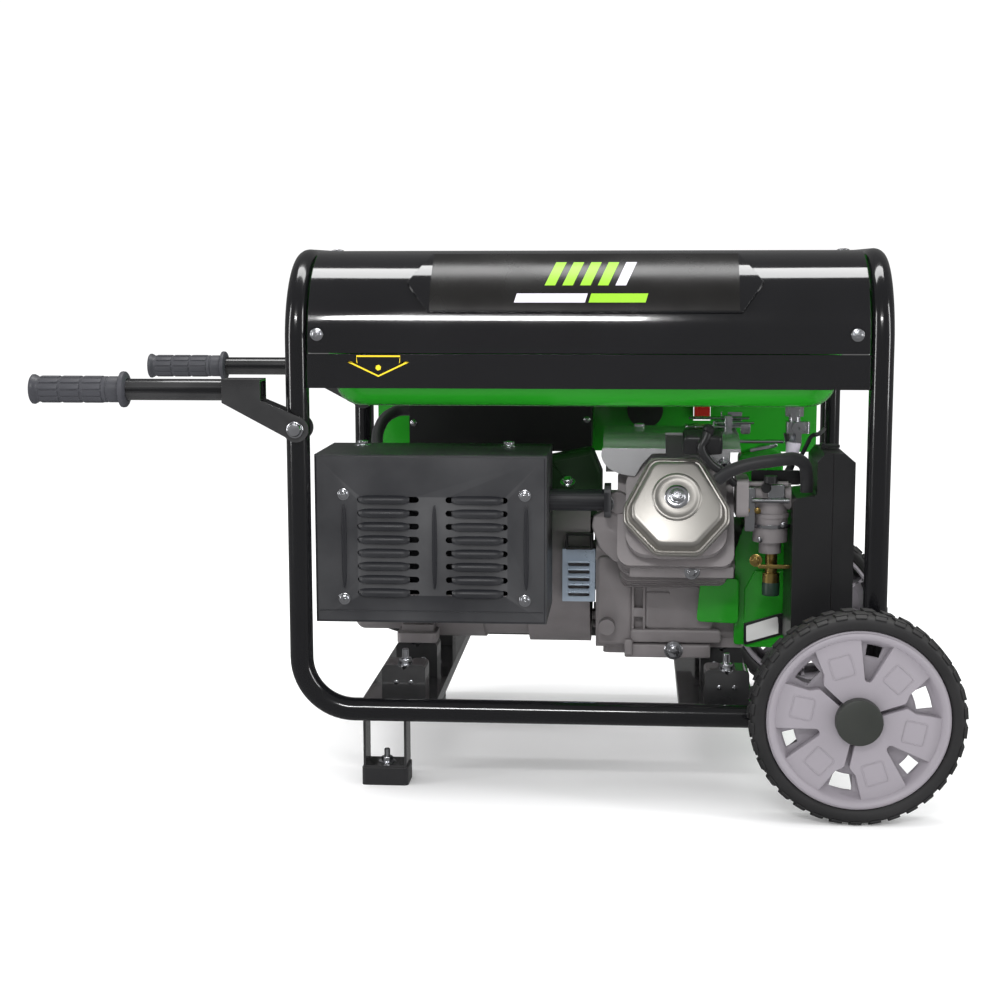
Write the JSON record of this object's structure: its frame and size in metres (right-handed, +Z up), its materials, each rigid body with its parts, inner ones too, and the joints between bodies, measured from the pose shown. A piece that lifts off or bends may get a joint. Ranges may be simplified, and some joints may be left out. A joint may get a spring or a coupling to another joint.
{
  "type": "portable generator",
  "caption": "Open-frame petrol generator: bent tube frame, engine and alternator, fuel tank with side covers, guarded muffler, control panel, two wheels and folding handles.",
  "frame": {"origin": "centre of the bounding box, on the floor", "axes": "+Z up; +X along the frame from the handles to the wheels; -Y towards the muffler side, +Y towards the control panel"},
  "size_m": [1.068, 0.677, 0.638],
  "materials": {
    "frame_black": "gloss",
    "cover_black": "gloss",
    "guard_black": "matte",
    "green_paint": "gloss",
    "zinc": "satin",
    "cast_alloy": "satin",
    "rocker_zinc": "satin",
    "rubber_black": "matte",
    "plastic_black": "satin",
    "tyre": "matte",
    "rim_grey": "satin",
    "brass": "satin",
    "steel": "satin",
    "cast_iron": "matte",
    "red_plastic": "gloss"
  },
  "bodies": {
    "frame": {"hoop_back": "frame_black", "side_cover_back": "cover_black", "hoop_front": "frame_black", "side_cover_front": "cover_black", "cross_member_left": "frame_black", "cross_member_right": "frame_black", "rubber_mounts": "frame_black", "foot_straps": "frame_black", "foot_pads": "rubber_black", "stub_axles": "steel", "pivot_bolts": "zinc", "tank_rails": "cover_black", "fuel_tank": "green_paint", "fuel_tap": "zinc", "control_panel": "green_paint", "control_box": "plastic_black", "panel_fittings": "plastic_black", "wiring_loom": "rubber_black", "crankcase": "cast_alloy", "cylinder_head": "cast_alloy", "rocker_cover": "rocker_zinc", "cylinder_shroud": "zinc", "plug_lead": "rubber_black", "fan_housing": "green_paint", "recoil_cover": "green_paint", "carburettor": "cast_alloy", "fuel_solenoid": "brass", "fuel_hose": "rubber_black", "air_cleaner_base": "plastic_black", "breather_hose": "rubber_black", "muffler": "guard_black", "exhaust_pipe": "guard_black", "muffler_guard": "guard_black", "alternator_housing": "cast_alloy", "louvre_plate": "zinc", "governor_bracket": "zinc", "cover_screws": "zinc", "engine_bolts": "zinc"},
    "wheel_back": {"tyre_back": "tyre", "rim_back": "rim_grey", "hub_cap_back": "plastic_black"},
    "wheel_front": {"tyre_front": "tyre", "rim_front": "rim_grey", "hub_cap_front": "plastic_black"},
    "handle_back": {"handle_back": "frame_black", "grip_back": "rubber_black"},
    "handle_front": {"handle_front": "frame_black", "grip_front": "rubber_black"},
    "fuel_cap": {"fuel_cap": "plastic_black"},
    "tap_lever": {"tap_lever": "zinc"},
    "breaker_button": {"breaker_button": "plastic_black"},
    "engine_switch": {"engine_switch": "red_plastic"},
    "crank": {"crankshaft": "steel", "flywheel": "cast_iron", "alternator_rotor": "cast_iron"},
    "piston": {"piston": "cast_alloy"},
    "choke_lever": {"choke_lever": "plastic_black"},
    "air_cover": {"air_cleaner_cover": "plastic_black"},
    "cover_clip": {"cover_clip": "plastic_black"},
    "recoil_grip": {"recoil_grip": "plastic_black"}
  },
  "joints": [
    {"name": "wheel_back_spin", "type": "hinge", "parent": "frame", "child": "wheel_back", "pos_m": [0.414, -0.305, 0.12], "axis": [0, 1, 0], "continuous": true},
    {"name": "wheel_front_spin", "type": "hinge", "parent": "frame", "child": "wheel_front", "pos_m": [0.414, 0.305, 0.12], "axis": [0, 1, 0], "continuous": true},
    {"name": "handle_back_fold", "type": "hinge", "parent": "frame", "child": "handle_back", "pos_m": [-0.2215, -0.246, 0.433], "axis": [0, 1, 0], "range_deg": [-90, 0]},
    {"name": "handle_front_fold", "type": "hinge", "parent": "frame", "child": "handle_front", "pos_m": [-0.2215, 0.246, 0.433], "axis": [0, 1, 0], "range_deg": [-90, 0]},
    {"name": "fuel_cap_turn", "type": "hinge", "parent": "frame", "child": "fuel_cap", "pos_m": [0.06, 0, 0.61], "axis": [0, 0, 1], "range_deg": [0, 90]},
    {"name": "tap_turn", "type": "hinge", "parent": "frame", "child": "tap_lever", "pos_m": [0.36, -0.13, 0.426], "axis": [0, -1, 0], "range_deg": [-90, 0]},
    {"name": "breaker_press", "type": "slide", "parent": "frame", "child": "breaker_button", "axis": [0, -1, 0], "range_m": [0, 0.004], "stiffness_N_per_m": 250},
    {"name": "switch_rock", "type": "hinge", "parent": "frame", "child": "engine_switch", "pos_m": [0.26, 0.236, 0.4195], "axis": [1, 0, 0], "range_deg": [0, 16]},
    {"name": "crank_spin", "type": "hinge", "parent": "frame", "child": "crank", "pos_m": [0.2145, 0.03, 0.235], "axis": [1, 0, 0], "continuous": true},
    {"name": "piston_slide", "type": "slide", "parent": "frame", "child": "piston", "axis": [0, -0.9063, 0.4226], "range_m": [-0.03, 0.01]},
    {"name": "choke_turn", "type": "hinge", "parent": "frame", "child": "choke_lever", "pos_m": [0.322, -0.172, 0.368], "axis": [0, 0, 1], "range_deg": [0, 42]},
    {"name": "air_cover_off", "type": "slide", "parent": "frame", "child": "air_cover", "axis": [1, 0, 0], "range_m": [0, 0.08]},
    {"name": "clip_open", "type": "hinge", "parent": "frame", "child": "cover_clip", "pos_m": [0.386, -0.159, 0.408], "axis": [0, -1, 0], "range_deg": [0, 100]},
    {"name": "recoil_pull", "type": "slide", "parent": "frame", "child": "recoil_grip", "axis": [0, 0.9397, 0.342], "range_m": [0, 0.25], "stiffness_N_per_m": 60}
  ]
}
